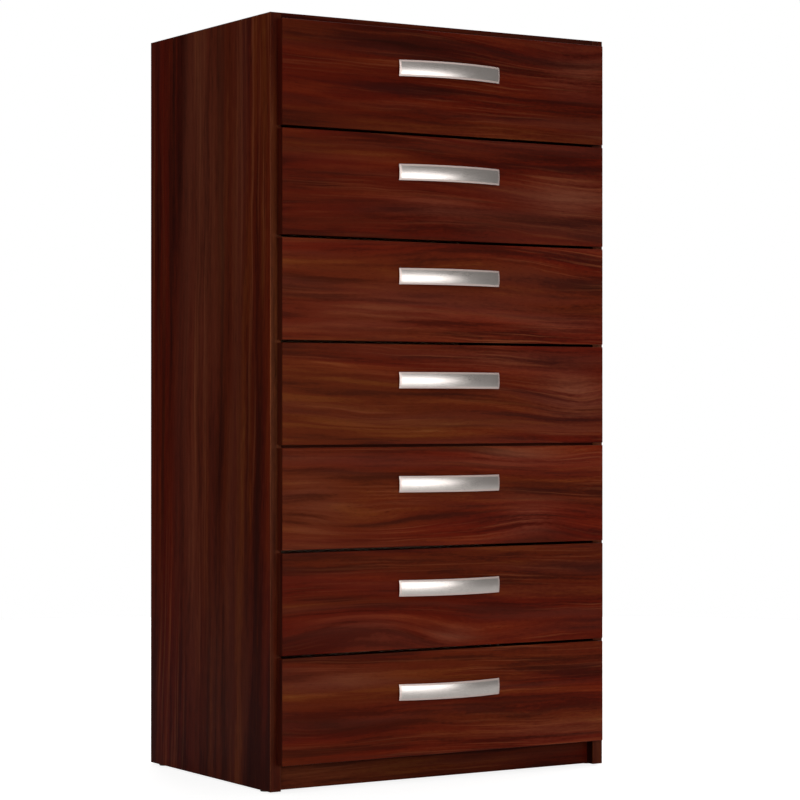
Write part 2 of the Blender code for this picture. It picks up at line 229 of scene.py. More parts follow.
def make_figure_group():
    """The boards' wood figure. Its vector is in metres, with the grain along X.
    Warmth turns it from red to brown, Depth is its brightness, and Calm takes away its fine lines.
    Each noise's scale is per metre, along the grain and twice across it."""
    graph, given, result = new_group(
        "wood_figure",
        (("Vector", "NodeSocketVector"), ("Warmth", "NodeSocketFloat"), ("Depth", "NodeSocketFloat"),
         ("Calm", "NodeSocketFloat")),
        (("Color", "NodeSocketColor"), ("Height", "NodeSocketFloat"), ("Band", "NodeSocketFloat")))
    place = given.outputs["Vector"]
    slow = graph.math("SUBTRACT", graph.noise(place, (1.7, 8.0, 8.0), 2.0, 0.5, (3.1, 0, 0)), 0.5)
    quick = graph.math("SUBTRACT", graph.noise(place, (11.0, 40.0, 40.0), 2.0, 0.5, (0, 5.2, 0)), 0.5)
    along, across, through = graph.split(place)
    across = graph.math("ADD", across, graph.math("MULTIPLY", slow, 0.026))
    across = graph.math("ADD", across, graph.math("MULTIPLY", quick, 0.006))
    grain = graph.join(along, across, through)

    patch = graph.noise(grain, (2.6, 15.0, 15.0), 2.0, 0.5, (8.8, 2.0, 0))
    band = graph.noise(grain, (2.4, 44.0, 44.0), 2.5, 0.55)
    streak = graph.noise(grain, (6.0, 115.0, 115.0), 2.0, 0.55, (7.3, 1.1, 0))
    fleck = graph.noise(grain, (18.0, 250.0, 250.0), 2.0, 0.6, (0, 1.7, 5.9))
    line = graph.noise(grain, (40.0, 520.0, 520.0), 2.0, 0.6, (2.7, 8.4, 0))
    grit = graph.noise(grain, (110.0, 420.0, 420.0), 1.0, 0.5, (3.9, 6.2, 0))
    pore = graph.noise(grain, (90.0, 1900.0, 1900.0), 1.0, 0.5, (4.4, 0, 0))

    stir = graph.math("SUBTRACT", 1.0, given.outputs["Calm"])
    tone = graph.math("MULTIPLY", patch, 0.15)
    for layer, share in ((band, 0.37), (streak, 0.24)):
        tone = graph.math("ADD", tone, graph.math("MULTIPLY", layer, share))
    for layer, share in ((fleck, 0.11), (line, 0.06), (grit, 0.08)):
        ripple = graph.math("MULTIPLY", graph.math("SUBTRACT", layer, 0.5), stir)
        tone = graph.math("ADD", tone, graph.math("MULTIPLY", graph.math("ADD", ripple, 0.5), share))
    tone = graph.span(tone, 0.355, 0.665)
    colour = graph.ramp(tone, ((0.0, srgb(42, 10, 4)), (0.25, srgb(63, 16, 7)), (0.50, srgb(86, 25, 10)),
                               (0.75, srgb(100, 38, 15)), (1.0, srgb(118, 60, 28))))
    hue = graph.noise(grain, (1.3, 20.0, 20.0), 2.0, 0.5, (0, 9.9, 2.2))
    vein = graph.math("SUBTRACT", graph.noise(grain, (2.4, 90.0, 90.0), 2.0, 0.5, (6.6, 0, 3.2)), 0.5)
    hue = graph.math("ADD", graph.span(hue, 0.35, 0.65), graph.math("MULTIPLY", vein, stir))
    hue = graph.math("ADD", hue, given.outputs["Warmth"], clamp=True)
    tints = ((0.0, (1.06, 0.66, 0.70, 1)), (0.5, (1.0, 1.0, 1.0, 1)), (1.0, (1.02, 1.42, 1.12, 1)))
    tint = graph.ramp(hue, tints, "LINEAR")
    colour = graph.mix(1.0, colour, tint, "MULTIPLY")

    hair = graph.noise(grain, (5.0, 330.0, 330.0), 1.0, 0.5, (1.9, 3.3, 0))
    where = graph.noise(grain, (3.0, 26.0, 26.0), 1.0, 0.5, (6.1, 0, 4.0))
    hair = graph.math("MULTIPLY", graph.span(hair, 0.54, 0.70), graph.span(where, 0.42, 0.62))
    hair = graph.math("MULTIPLY", hair, stir)
    colour = graph.mix(graph.math("MULTIPLY", hair, 0.50), colour, srgb(136, 72, 42))
    seam = graph.noise(grain, (2.6, 130.0, 130.0), 1.0, 0.5, (5.5, 0, 8.8))
    seam = graph.math("MULTIPLY", graph.span(seam, 0.56, 0.70), graph.span(where, 0.62, 0.40))
    seam = graph.math("MULTIPLY", seam, stir)
    colour = graph.mix(graph.math("MULTIPLY", seam, 0.55), colour, srgb(42, 12, 7))
    ash = graph.noise(grain, (2.0, 30.0, 30.0), 2.0, 0.5, (0, 4.1, 7.7))
    colour = graph.mix(graph.span(ash, 0.50, 0.72, 0.0, 0.45), colour, srgb(92, 42, 31))
    colour = graph.mix(graph.span(pore, 0.60, 0.74, 0.0, 0.45), colour, srgb(26, 8, 5))
    depth = given.outputs["Depth"]
    shade = graph.node("ShaderNodeCombineColor", {"Red": depth, "Green": depth, "Blue": depth}).outputs[0]
    colour = graph.mix(1.0, colour, shade, "MULTIPLY")
    height = graph.math("SUBTRACT", line, graph.math("MULTIPLY", pore, 0.8))
    graph.put(result.inputs["Color"], colour)
    graph.put(result.inputs["Height"], height)
    graph.put(result.inputs["Band"], tone)
    return graph.tree


FIGURE = make_figure_group()
SHADOW_COLOUR = srgb(44, 10, 9)
WORN_COLOUR = srgb(134, 72, 36)
# where a calm board's fine lines begin to fade and where they are faintest, along X
CALM_START, CALM_END = 0.08, -0.20
# shifts of the figure for each step of the seed, along the grain, across it and through the board
SEED_SHIFT = (3.7, 1.3, 0.9)


def bell_over(graph, along, across, spot):
    """A smooth hump, 1 at a spot's centre and fading to nothing round it, times the spot's amount."""
    centre_along, centre_across, length, height, amount = spot
    run = graph.math("DIVIDE", graph.math("SUBTRACT", along, centre_along), length)
    rise = graph.math("DIVIDE", graph.math("SUBTRACT", across, centre_across), height)
    reach = graph.math("ADD", graph.math("MULTIPLY", run, run), graph.math("MULTIPLY", rise, rise))
    return graph.math("MULTIPLY", graph.math("EXPONENT", graph.math("MULTIPLY", reach, -1.0)), amount)


def wood_material(name, grain, seed=0.0, warmth=0.0, depth=1.0, flames=(), slope=0.0, worn=0.0,
                  figure_scale=(1.0, 1.0, 1.0), gloss=0.10, glows=(), glow_colour=srgb(128, 66, 40),
                  shadows=(), drift=0.0, calm=0.0, glow_tones=(0.0, 1.0)):
    """Satin printed laminate with its grain along X, Y or Z of the row frame.
    Its grain lines bend round each flame. Each glow is a patch of paler flecks and each shadow a patch of
    darker ones; on the fronts they are figure, while some glows elsewhere are painted highlights and one
    shadow on the sides is painted shade. Drift changes the warmth along the grain, and calm fades the fine
    lines towards -X."""
    material, graph, shader = new_material(name)
    x, y, z = graph.split(object_place(graph))
    along, across, through = {"X": (x, z, y), "Y": (y, x, z), "Z": (z, y, x)}[grain]
    level = across
    across = graph.math("ADD", across, graph.math("MULTIPLY", along, slope))
    for flame in flames:
        across = graph.math("ADD", across, bell_over(graph, along, across, flame))
    shift = tuple(seed * step for step in SEED_SHIFT)
    moved = graph.scaled(graph.join(along, across, through), figure_scale, shift)
    figure = graph.node("ShaderNodeGroup", node_tree=FIGURE)
    graph.put(figure.inputs["Vector"], moved)
    drifting = graph.math("ADD", graph.math("MULTIPLY", along, drift), warmth)
    graph.put(figure.inputs["Warmth"], drifting)
    figure.inputs["Depth"].default_value = depth
    if calm:
        graph.put(figure.inputs["Calm"], graph.span(along, CALM_START, CALM_END, 0.0, calm))
    colour = figure.outputs["Color"]
    for glow in glows:
        share = graph.math("MULTIPLY", bell_over(graph, along, level, glow),
                           graph.span(figure.outputs["Band"], *glow_tones))
        colour = graph.mix(share, colour, glow_colour)
    for shadow in shadows:
        share = graph.math("MULTIPLY", bell_over(graph, along, level, shadow),
                           graph.span(figure.outputs["Band"], 0.75, 0.25))
        colour = graph.mix(share, colour, SHADOW_COLOUR)
    if worn:
        rub = graph.noise(object_place(graph), (60, 60, 60), 3.0, 0.6)
        colour = graph.mix(graph.span(rub, 0.35, 0.65, 0.35 * worn, worn), colour, WORN_COLOUR)
    graph.put(shader.inputs["Base Color"], colour)
    graph.put(shader.inputs["Roughness"], graph.span(figure.outputs["Band"], 0.0, 1.0, 0.46, 0.36))
    graph.put(shader.inputs["Normal"], graph.bump(figure.outputs["Height"], 0.00012, 0.35))
    shader.inputs["Specular IOR Level"].default_value = gloss
    shader.inputs["Specular Tint"].default_value = (1.0, 0.40, 0.25, 1.0)
    return material


# ---------------------------------------------------------------- other materials
def brushed_metal(name, roughness, dark, light, metallic):
    """Brushed aluminium with its fine scratches along X."""
    material, graph, shader = new_material(name)
    place = object_place(graph)
    brush = graph.noise(place, (26, 3200, 3200), 3.0, 0.65)
    cloud = graph.noise(place, (30, 60, 60), 2.0, 0.5)
    graph.put(shader.inputs["Base Color"], graph.mix(graph.span(brush, 0.3, 0.7), dark, light))
    rough = graph.math("ADD", graph.span(brush, 0.3, 0.7, roughness, roughness + 0.09),
                       graph.span(cloud, 0.3, 0.7, -0.02, 0.03))
    graph.put(shader.inputs["Roughness"], rough)
    graph.put(shader.inputs["Normal"], graph.bump(brush, 0.00002, 0.30))
    shader.inputs["Metallic"].default_value = metallic
    return material


def zinc(name, dark, light):
    """Zinc plated steel or die-cast metal."""
    material, graph, shader = new_material(name)
    place = object_place(graph)
    spangle = graph.noise(place, (900, 900, 900), 3.0, 0.6)
    cloud = graph.noise(place, (160, 160, 160), 2.0, 0.5)
    graph.put(shader.inputs["Base Color"], graph.mix(graph.span(cloud, 0.3, 0.7), dark, light))
    graph.put(shader.inputs["Roughness"], graph.span(spangle, 0.3, 0.7, 0.28, 0.48))
    graph.put(shader.inputs["Normal"], graph.bump(spangle, 0.00004, 0.4))
    shader.inputs["Metallic"].default_value = 0.9
    return material


def plastic(name, colour, deep, roughness=0.42):
    """Moulded plastic: a fine eroded surface, slightly uneven colour and faint flow marks."""
    material, graph, shader = new_material(name)
    place = object_place(graph)
    flow = graph.noise(place, (6, 90, 90), 2.0, 0.5)
    fine = graph.noise(place, (2600, 2600, 2600), 2.0, 0.6)
    graph.put(shader.inputs["Base Color"], graph.mix(graph.span(flow, 0.3, 0.7), deep, colour))
    graph.put(shader.inputs["Roughness"], graph.span(fine, 0.3, 0.7, roughness - 0.06, roughness + 0.08))
    graph.put(shader.inputs["Normal"], graph.bump(fine, 0.00003, 0.5))
    return material


def hardboard(name, dark, light, mesh_side):
    """Pressed fibre: mottled fibres, and on the rough side the print of the press screen."""
    material, graph, shader = new_material(name)
    place = object_place(graph)
    mottle = graph.noise(place, (26, 26, 26), 4.0, 0.6)
    fibre = graph.noise(place, (900, 260, 520), 3.0, 0.65, distortion=0.6)
    speck = graph.noise(place, (420, 420, 420), 2.0, 0.7, (5, 5, 5))
    tone = graph.math("ADD", graph.math("MULTIPLY", mottle, 0.45), graph.math("MULTIPLY", fibre, 0.55))
    colour = graph.mix(graph.span(tone, 0.36, 0.64), dark, light)
    colour = graph.mix(graph.span(speck, 0.62, 0.72, 0.0, 0.55), colour, srgb(70, 42, 24))
    graph.put(shader.inputs["Base Color"], colour)
    graph.put(shader.inputs["Roughness"], graph.span(mottle, 0.3, 0.7, 0.62, 0.82))
    height = fibre
    if mesh_side:
        weave = graph.noise(place, (1100, 1100, 1100), 0.0, 0.5, distortion=0.2)
        height = graph.math("ADD", fibre, graph.math("MULTIPLY", weave, 0.8))
    graph.put(shader.inputs["Normal"], graph.bump(height, 0.00025, 0.5))
    shader.inputs["Specular IOR Level"].default_value = 0.25
    return material


def foil(name):
    """Pale foil of the folded drawer boxes, embossed like fine linen."""
    material, graph, shader = new_material(name)
    place = object_place(graph)
    threads = graph.noise(place, (2200, 2200, 240), 1.0, 0.5)
    wefts = graph.noise(place, (240, 240, 2200), 1.0, 0.5, (3, 3, 3))
    linen = graph.math("ADD", threads, wefts)
    cloud = graph.noise(place, (9, 9, 9), 3.0, 0.5)
    pale = graph.mix(graph.span(cloud, 0.35, 0.65), srgb(198, 192, 181), srgb(210, 205, 195))
    colour = graph.mix(graph.span(linen, 0.8, 1.2, 0.0, 0.5), pale, srgb(176, 170, 158))
    graph.put(shader.inputs["Base Color"], colour)
    graph.put(shader.inputs["Roughness"], graph.span(linen, 0.8, 1.2, 0.40, 0.52))
    graph.put(shader.inputs["Normal"], graph.bump(linen, 0.00006, 0.5))
    return material


def chipboard(name):
    """Raw cut edge of particle board."""
    material, graph, shader = new_material(name)
    place = object_place(graph)
    chips = graph.node("ShaderNodeTexVoronoi", {"Vector": graph.scaled(place, (330, 520, 330)), "Scale": 1.0})
    fine = graph.noise(place, (1500, 1500, 1500), 2.0, 0.6)
    tone = graph.math("ADD", graph.math("MULTIPLY", graph.split(chips.outputs["Color"])[0], 0.7),
                      graph.math("MULTIPLY", fine, 0.3))
    stops = ((0.1, srgb(112, 80, 48)), (0.5, srgb(168, 130, 86)), (0.9, srgb(204, 172, 124)))
    colour = graph.ramp(tone, stops)
    graph.put(shader.inputs["Base Color"], colour)
    graph.put(shader.inputs["Roughness"], graph.span(fine, 0.3, 0.7, 0.75, 0.92))
    graph.put(shader.inputs["Normal"], graph.bump(tone, 0.0004, 0.6))
    return material


# flames of each front: centre along X, centre Z above the front's middle, length, height, lift;
# glows and shadows have the same columns with a strength in place of the lift
FLAMES = {
    1: ((0.20, 0.050, 0.16, 0.030, 0.016), (-0.16, -0.060, 0.22, 0.026, 0.010)),
    2: ((0.22, 0.010, 0.16, 0.030, 0.016), (0.02, -0.050, 0.20, 0.028, -0.012)),
    3: ((0.06, 0.060, 0.18, 0.040, -0.026), (0.20, -0.020, 0.22, 0.024, 0.010)),
    4: ((0.25, -0.010, 0.090, 0.034, 0.015), (-0.15, -0.040, 0.14, 0.026, 0.009)),
    5: ((-0.15, -0.045, 0.15, 0.028, 0.020), (0.17, -0.045, 0.10, 0.028, -0.018),
        (0.17, 0.062, 0.10, 0.020, 0.012)),
    6: ((-0.14, -0.040, 0.17, 0.036, -0.026), (0.03, -0.062, 0.11, 0.024, 0.014),
        (0.24, 0.03, 0.12, 0.026, 0.009)),
    7: ((-0.22, -0.045, 0.14, 0.024, 0.012), (0.15, -0.045, 0.18, 0.026, 0.010)),
}
GLOWS = {
    1: ((0.24, 0.030, 0.07, 0.030, 0.40),),
    2: ((0.23, -0.005, 0.08, 0.030, 0.55), (-0.02, -0.030, 0.10, 0.020, 0.35)),
    3: ((-0.12, -0.030, 0.15, 0.030, 0.30), (0.20, -0.045, 0.08, 0.016, 0.35)),
    4: ((0.235, 0.000, 0.06, 0.036, 0.65), (0.10, 0.055, 0.10, 0.015, 0.35)),
    5: ((0.15, -0.040, 0.05, 0.022, 0.65), (0.12, 0.060, 0.08, 0.014, 0.50),
        (-0.24, -0.010, 0.05, 0.050, 0.35)),
    6: ((-0.17, -0.045, 0.08, 0.020, 0.50), (0.00, -0.060, 0.05, 0.015, 0.40)),
    7: ((-0.20, 0.045, 0.08, 0.015, 0.40), (0.20, -0.060, 0.12, 0.020, 0.30)),
}
SHADOWS = {
    1: ((-0.14, -0.016, 0.14, 0.010, 0.70), (0.14, 0.050, 0.16, 0.016, 0.50),
        (-0.18, 0.050, 0.10, 0.020, 0.40)),
    2: ((0.24, -0.046, 0.08, 0.010, 0.70), (-0.14, -0.030, 0.12, 0.010, 0.40),
        (0.22, 0.040, 0.10, 0.010, 0.50)),
    3: ((0.21, -0.052, 0.08, 0.008, 0.80), (0.19, 0.022, 0.10, 0.010, 0.70),
        (0.21, 0.058, 0.08, 0.008, 0.70)),
    4: ((0.20, 0.046, 0.08, 0.010, 0.70), (0.22, -0.036, 0.07, 0.010, 0.80),
        (0.19, 0.008, 0.05, 0.012, 0.50)),
    5: ((0.20, 0.010, 0.10, 0.012, 0.60), (0.06, -0.034, 0.07, 0.010, 0.60),
        (0.23, -0.062, 0.08, 0.008, 0.60)),
    6: ((0.22, 0.040, 0.10, 0.012, 0.70), (0.20, -0.006, 0.08, 0.008, 0.60),
        (0.24, -0.052, 0.06, 0.010, 0.60)),
    7: ((0.20, 0.030, 0.12, 0.010, 0.30),),
}
# colour of each front: its warmth, the warmth's drift for each metre to the right, and its brightness
WARMTH = {1: -0.35, 2: -0.12, 3: -0.10, 4: 0.15, 5: 0.02, 6: -0.30, 7: -0.24}
DRIFT = {1: 0.0, 2: -0.1, 3: -0.5, 4: -1.3, 5: -1.0, 6: -0.2, 7: -0.3}
DEPTH = {1: 0.77, 2: 0.84, 3: 1.14, 4: 1.01, 5: 1.14, 6: 0.94, 7: 1.06}


def front_material(number):
    low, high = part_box("drawer_%d_front" % number)
    middle = (low.z + high.z) / 2
    spots = []
    for table in (FLAMES, GLOWS, SHADOWS):
        spots.append([(x, middle + rise, *rest) for x, rise, *rest in table[number]])
    flames, glows, shadows = spots
    return wood_material("front_wood_%d" % number, "X", seed=1.0 + number, warmth=WARMTH[number],
                         depth=DEPTH[number], flames=flames, slope=0.02, glows=glows,
                         glow_colour=srgb(126, 74, 54), shadows=shadows, drift=DRIFT[number], calm=0.6,
                         glow_tones=(0.30, 0.80))


# spots of the sides: centre up Z, centre along Y, length, width, strength
SIDE_GLOWS = ((0.90, 0.03, 0.40, 0.065, 0.60), (0.34, 0.075, 0.26, 0.035, 0.55),
              (0.16, -0.02, 0.16, 0.03, 0.30))
# the first side shadow is painted shade, a broad darkening towards the sides' foot; the other two are dark
# figure lines
SIDE_SHADOWS = ((0.0, 0.0, 0.34, 0.60, 0.50), (0.45, -0.10, 0.22, 0.02, 0.50),
                (0.85, 0.13, 0.20, 0.02, 0.40))
SIDE_WOOD = wood_material("side_wood", "Z", 11.0, -0.26, 1.03, slope=0.02, drift=-0.08,
                          shadows=SIDE_SHADOWS, figure_scale=(0.42, 0.45, 0.45), gloss=0.02,
                          glows=SIDE_GLOWS, glow_colour=srgb(124, 73, 50))
# painted shade: the sides' inner faces are darkened to about a sixth of the laminate's brightness
SHADED_INNER_WOOD = wood_material("shaded_inner_wood", "Z", 12.0, -0.10, 0.16, figure_scale=(0.35, 0.62, 0.62), gloss=0.02)
LEVEL_WOOD = wood_material("level_wood", "X", 14.0, -0.10, 0.80)
# painted shade: the plinth's front is darkened for the shade under the bottom front, and a painted paler
# patch of light brightens its left end
SHADED_PLINTH_WOOD = wood_material("shaded_plinth_wood", "X", 29.0, 0.05, 0.58, glows=((-0.24, 0.035, 0.12, 0.06, 0.45),))
# the sides' front edge bands: darker than the sides' faces, with a painted highlight at mid height and a
# faint one low down
HIGHLIT_UPRIGHT_TAPE = wood_material("highlit_upright_tape", "Z", 17.0, -0.28, 0.50, gloss=0.2,
                             glows=((0.59, CARCASS_Y, 0.24, 0.10, 0.58), (0.14, CARCASS_Y, 0.10, 0.10, 0.14)),
                             glow_colour=srgb(150, 84, 48))
# painted shade: the fronts' top and bottom edges and the level boards' front edges are darkened to about a
# quarter, for the shade in the gaps between the fronts
SHADED_LEVEL_TAPE = wood_material("shaded_level_tape", "X", 19.0, -0.05, 0.26)
# painted shade: the top's front edge band is darkened, for the shade just above the top front
SHADED_TOP_TAPE = wood_material("shaded_top_tape", "X", 20.0, -0.05, 0.42)
# the fronts' end faces: a darker tape, darkened further as painted shade beside the carcass edges
SHADED_END_TAPE = wood_material("shaded_end_tape", "Z", 21.0, -0.10, 0.53)
# the sides' rounded arrises: rubbed wear, and a painted highlight at mid height along the front arrises
WORN_HIGHLIT_EDGE = wood_material("worn_highlit_edge", "Z", 23.0, 0.20, 0.66, worn=0.35, gloss=0.3,
                          glows=((0.62, CARCASS_Y, 0.24, 0.10, 1.0),), glow_colour=srgb(160, 94, 54))
LEVEL_EDGE = wood_material("level_edge", "X", 25.0, 0.0, 0.80, worn=0.15)
RAW_BOARD = chipboard("raw_board")
METAL = brushed_metal("brushed_aluminium", 0.27, srgb(200, 193, 188), srgb(230, 222, 217), 1.0)
# the handles' chamfered rims: satin metal whose lighter, pinkish, part-metallic colour paints in the rims'
# pale highlight
HIGHLIT_RIM_METAL = brushed_metal("highlit_satin_rim", 0.42, srgb(212, 190, 183), srgb(234, 216, 209), 0.62)
ZINC = zinc("zinc", srgb(120, 118, 108), srgb(178, 174, 160))
BOX_FOIL = foil("drawer_foil")
ROUGH_BOARD = hardboard("hardboard_rough", srgb(108, 74, 46), srgb(142, 102, 66), True)
SMOOTH_BOARD = hardboard("hardboard_smooth", srgb(150, 128, 104), srgb(170, 148, 122), False)
PALE_PLASTIC = plastic("pale_plastic", srgb(214, 210, 200), srgb(196, 192, 180))
DARK_PLASTIC = plastic("dark_plastic", srgb(44, 30, 26), srgb(28, 18, 16))
GLIDE_PLASTIC = plastic("glide_plastic", srgb(52, 50, 48), srgb(36, 34, 32), 0.5)


# ---------------------------------------------------------------- mesh helpers
def box_mesh(low, high, rounding=0.0, segments=EDGE_SEGMENTS):
    """A board between two corners with rounded edges."""
    low, high = Vector(low), Vector(high)
    bm = bmesh.new()
    bmesh.ops.create_cube(bm, size=1.0)
    bmesh.ops.scale(bm, vec=high - low, verts=bm.verts)
    bmesh.ops.translate(bm, vec=(low + high) / 2, verts=bm.verts)
    if rounding:
        bmesh.ops.bevel(bm, geom=bm.edges[:], offset=rounding, segments=segments, profile=0.5, affect="EDGES")
    return bm


def lathe(profile, segments=28):
    """A closed turned shape about +Z; the profile runs from axis to axis as (radius, height)."""
    bm = bmesh.new()
    verts = [bm.verts.new((radius, 0.0, height)) for radius, height in profile]
    edges = [bm.edges.new(pair) for pair in zip(verts, verts[1:])]
    bmesh.ops.spin(bm, geom=verts + edges, cent=(0, 0, 0), axis=(0, 0, 1), angle=2 * math.pi, steps=segments)
    bmesh.ops.remove_doubles(bm, verts=bm.verts, dist=0.00001)
    bmesh.ops.recalc_face_normals(bm, faces=bm.faces)
    return bm


def as_object(name, bm, *materials):
    mesh = bpy.data.meshes.new(name)
    bm.to_mesh(mesh)
    bm.free()
    for material in materials:
        mesh.materials.append(material)
    made = bpy.data.objects.new(name, mesh)
    bpy.context.scene.collection.objects.link(made)
    return made


def settle(piece):
    """Applies a piece's modifiers to its mesh."""
    graph = bpy.context.evaluated_depsgraph_get()
    graph.update()
    mesh = bpy.data.meshes.new_from_object(piece.evaluated_get(graph))
    piece.modifiers.clear()
    piece.data = mesh
    return piece


def carve(piece, cutters):
    """Cuts the cutters' shapes out of the piece."""
    made = []
    for index, bm in enumerate(cutters):
        cutter = as_object(piece.name + "_cutter_%d" % index, bm)
        modifier = piece.modifiers.new("cut_%d" % index, "BOOLEAN")
        modifier.operation = "DIFFERENCE"
        modifier.solver = "EXACT"
        modifier.object = cutter
        made.append(cutter)
    settle(piece)
    for cutter in made:
        bpy.data.objects.remove(cutter)
    return piece


def smooth(piece, angle):
    """Shades the piece smooth but for edges sharper than the angle in degrees."""
    piece.data.shade_smooth()
    piece.data.set_sharp_from_angle(angle=math.radians(angle))
    return piece


def finished(piece, body, slot, *nodes):
    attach(piece, body)
    if nodes:
        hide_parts(*nodes)
    return piece


def paint(piece, rule):
    """Gives each face the material slot that the rule names for its normal and centre."""
    for face in piece.data.polygons:
        face.material_index = rule(face.normal, face.center)
    return piece


# cosine above which a face counts as square to an axis
SQUARE = 0.99


def flat_towards(normal, axis, sign=0):
    """True on a face square to the axis, on the sign's side of it or, with no sign, on either."""
    level = normal[axis] * sign if sign else abs(normal[axis])
    return level > SQUARE


def add_to(whole, part):
    """Puts the shape of part into whole, and frees part."""
    mesh = bpy.data.meshes.new("part")
    part.to_mesh(mesh)
    part.free()
    whole.from_mesh(mesh)
    bpy.data.meshes.remove(mesh)


def dress(node, material):
    """Gives a CAD node that stays in view its material."""
    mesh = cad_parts[node].data
    mesh.materials.clear()
    mesh.materials.append(material)


def scattered(name, template, places, *materials):
    """One object with a copy of the template at each matrix."""
    bm = bmesh.new()
    for place in places:
        start = len(bm.verts)
        bm.from_mesh(template)
        bm.verts.ensure_lookup_table()
        bmesh.ops.transform(bm, matrix=place, verts=bm.verts[start:])
    return as_object(name, bm, *materials)


def pointing(centre, axis, turn=0.0):
    """A matrix that puts a shape at centre with its +Z along axis. The turn about that axis is given so that
    screws and cams do not all line up."""
    facing = Vector(axis).to_track_quat("Z", "Y").to_matrix().to_4x4()
    return Matrix.Translation(centre) @ facing @ Matrix.Rotation(turn, 4, "Z")


# ---------------------------------------------------------------- carcass boards
X, Y, Z = 0, 1, 2
# material slots of carcass boards, of fronts after FACE, of hardboard, of drawer boxes and of handles
FACE, EDGE, TAPED, RAW, INNER = range(5)
FRONT_ENDS, FRONT_LEVELS = 1, 2
SMOOTH_SIDE, ROUGH_SIDE = 0, 1
FOILED, CUT_END = 0, 1
STRIP_FACE, STRIP_RIM = 0, 1


def carcass_rule(side=0):
    """Laminated faces, rounded arrises, a taped front edge and a raw rear edge. A side panel, whose outer
    face points along X with the sign given as side, has painted shade on its inner face and a raw lower edge
    as well."""
    def rule(normal, centre):
        if side and flat_towards(normal, X, -side):
            return INNER
        if flat_towards(normal, Y, 1) or side and flat_towards(normal, Z, -1):
            return RAW
        if flat_towards(normal, Y, -1):
            return TAPED
        if flat_towards(normal, X) or flat_towards(normal, Z):
            return FACE
        return EDGE
    return rule


def make_side_panel(label, side):
    node = label + "_side_panel"
    low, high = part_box(node)
    piece = as_object(label + "_side_board", box_mesh(low, high, CARCASS_ROUND),
                      SIDE_WOOD, WORN_HIGHLIT_EDGE, HIGHLIT_UPRIGHT_TAPE, RAW_BOARD, SHADED_INNER_WOOD)
    rebate_x = sorted((side * (INNER_X + REBATE_WIDTH), side * (INNER_X - REBATE_WIDTH)))
    rebate = box_mesh((rebate_x[0], REBATE_Y - FIT_GAP, -REBATE_WIDTH),
                      (rebate_x[1], REAR_Y + REBATE_WIDTH, BACK_TOP_Z + FIT_GAP))
    carve(piece, [rebate])
    paint(piece, carcass_rule(side))
    finished(piece, "carcass", "carcass_laminate", node)


def make_level_board(name, node, front=SHADED_LEVEL_TAPE):
    low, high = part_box(node)
    piece = as_object(name, box_mesh(low, high, CARCASS_ROUND), LEVEL_WOOD, LEVEL_EDGE, front, RAW_BOARD)
    if node == "top_panel":
        rebate = box_mesh((-OUTER_X, REBATE_Y - FIT_GAP, low.z - REBATE_WIDTH),
                          (OUTER_X, REAR_Y + REBATE_WIDTH, BACK_TOP_Z + FIT_GAP))
        carve(piece, [rebate])
    paint(piece, carcass_rule())
    finished(piece, "carcass", "carcass_laminate", node)


def make_front_tapes():
    """Thin edge bands on the front edges of the sides and the top."""
    for label, side in SIDES:
        low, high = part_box(label + "_side_panel")
        strip = box_mesh((low.x + EDGE_ROUND, CARCASS_Y - TAPE, low.z + EDGE_ROUND),
                         (high.x - EDGE_ROUND, CARCASS_Y, high.z - EDGE_ROUND), TAPE / 2, segments=2)
        finished(as_object(label + "_side_edge_band", strip, HIGHLIT_UPRIGHT_TAPE), "carcass", "carcass_laminate")
    strip = box_mesh((top_low.x, CARCASS_Y - TAPE, top_low.z + EDGE_ROUND),
                     (top_high.x, CARCASS_Y, top_high.z - EDGE_ROUND), TAPE / 2, segments=2)
    finished(as_object("top_edge_band", strip, SHADED_TOP_TAPE), "carcass", "carcass_laminate")


def make_back():
    for part in ("lower", "upper"):
        node = "back_sheet_" + part
        low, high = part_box(node)
        sheet = box_mesh(low, high, BACK_ROUND, segments=2)
        piece = as_object("back_board_" + part, sheet, SMOOTH_BOARD, ROUGH_BOARD)
        paint(piece, lambda normal, centre: SMOOTH_SIDE if flat_towards(normal, Y, -1) else ROUGH_SIDE)
        finished(piece, "carcass", "hardboard", node)
    dress("back_joint_strip", DARK_PLASTIC)


# ---------------------------------------------------------------- fasteners
def cross_recess(width, length, depth, top):
    """Two crossed blades to cut a screw's recess."""
    long_blade = box_mesh((-length / 2, -width / 2, top - depth), (length / 2, width / 2, top + depth))
    short_blade = box_mesh((-width / 2, -length / 2, top - depth), (width / 2, length / 2, top + depth))
    return [long_blade, short_blade]


def template_of(name, bm, cutters):
    made = as_object(name, bm)
    if cutters:
        carve(made, cutters)
    smooth(made, 30)
    mesh = made.data
    bpy.data.objects.remove(made)
    return mesh


def pan_head():
    """Pan head screw with a cross recess, seen from +Z, sitting on Z = 0."""
    radius, height, steps = 0.0040, 0.0024, 5
    skirt, dome, spread = 0.35, 0.65, 0.0002
    profile = [(0, 0), (radius, 0), (radius, height * skirt)]
    for step in range(1, steps):
        angle = math.radians(90 * step / steps)
        profile.append((radius * math.cos(angle) + spread, height * (skirt + dome * math.sin(angle))))
    profile.append((0, height))
    return template_of("pan_head", lathe(profile), cross_recess(0.0009, 0.0046, 0.0014, height))


def sunk_head():
    """Countersunk screw head whose flat top is at Z = 0."""
    radius, shank, end, cone_start, cone_end = 0.0032, 0.0014, -0.0050, -0.0017, -0.0001
    profile = [(0, end), (shank, end), (shank, cone_start), (radius, cone_end), (radius, 0), (0, 0)]
    return template_of("sunk_head", lathe(profile), cross_recess(0.0008, 0.0040, 0.0012, 0.0))


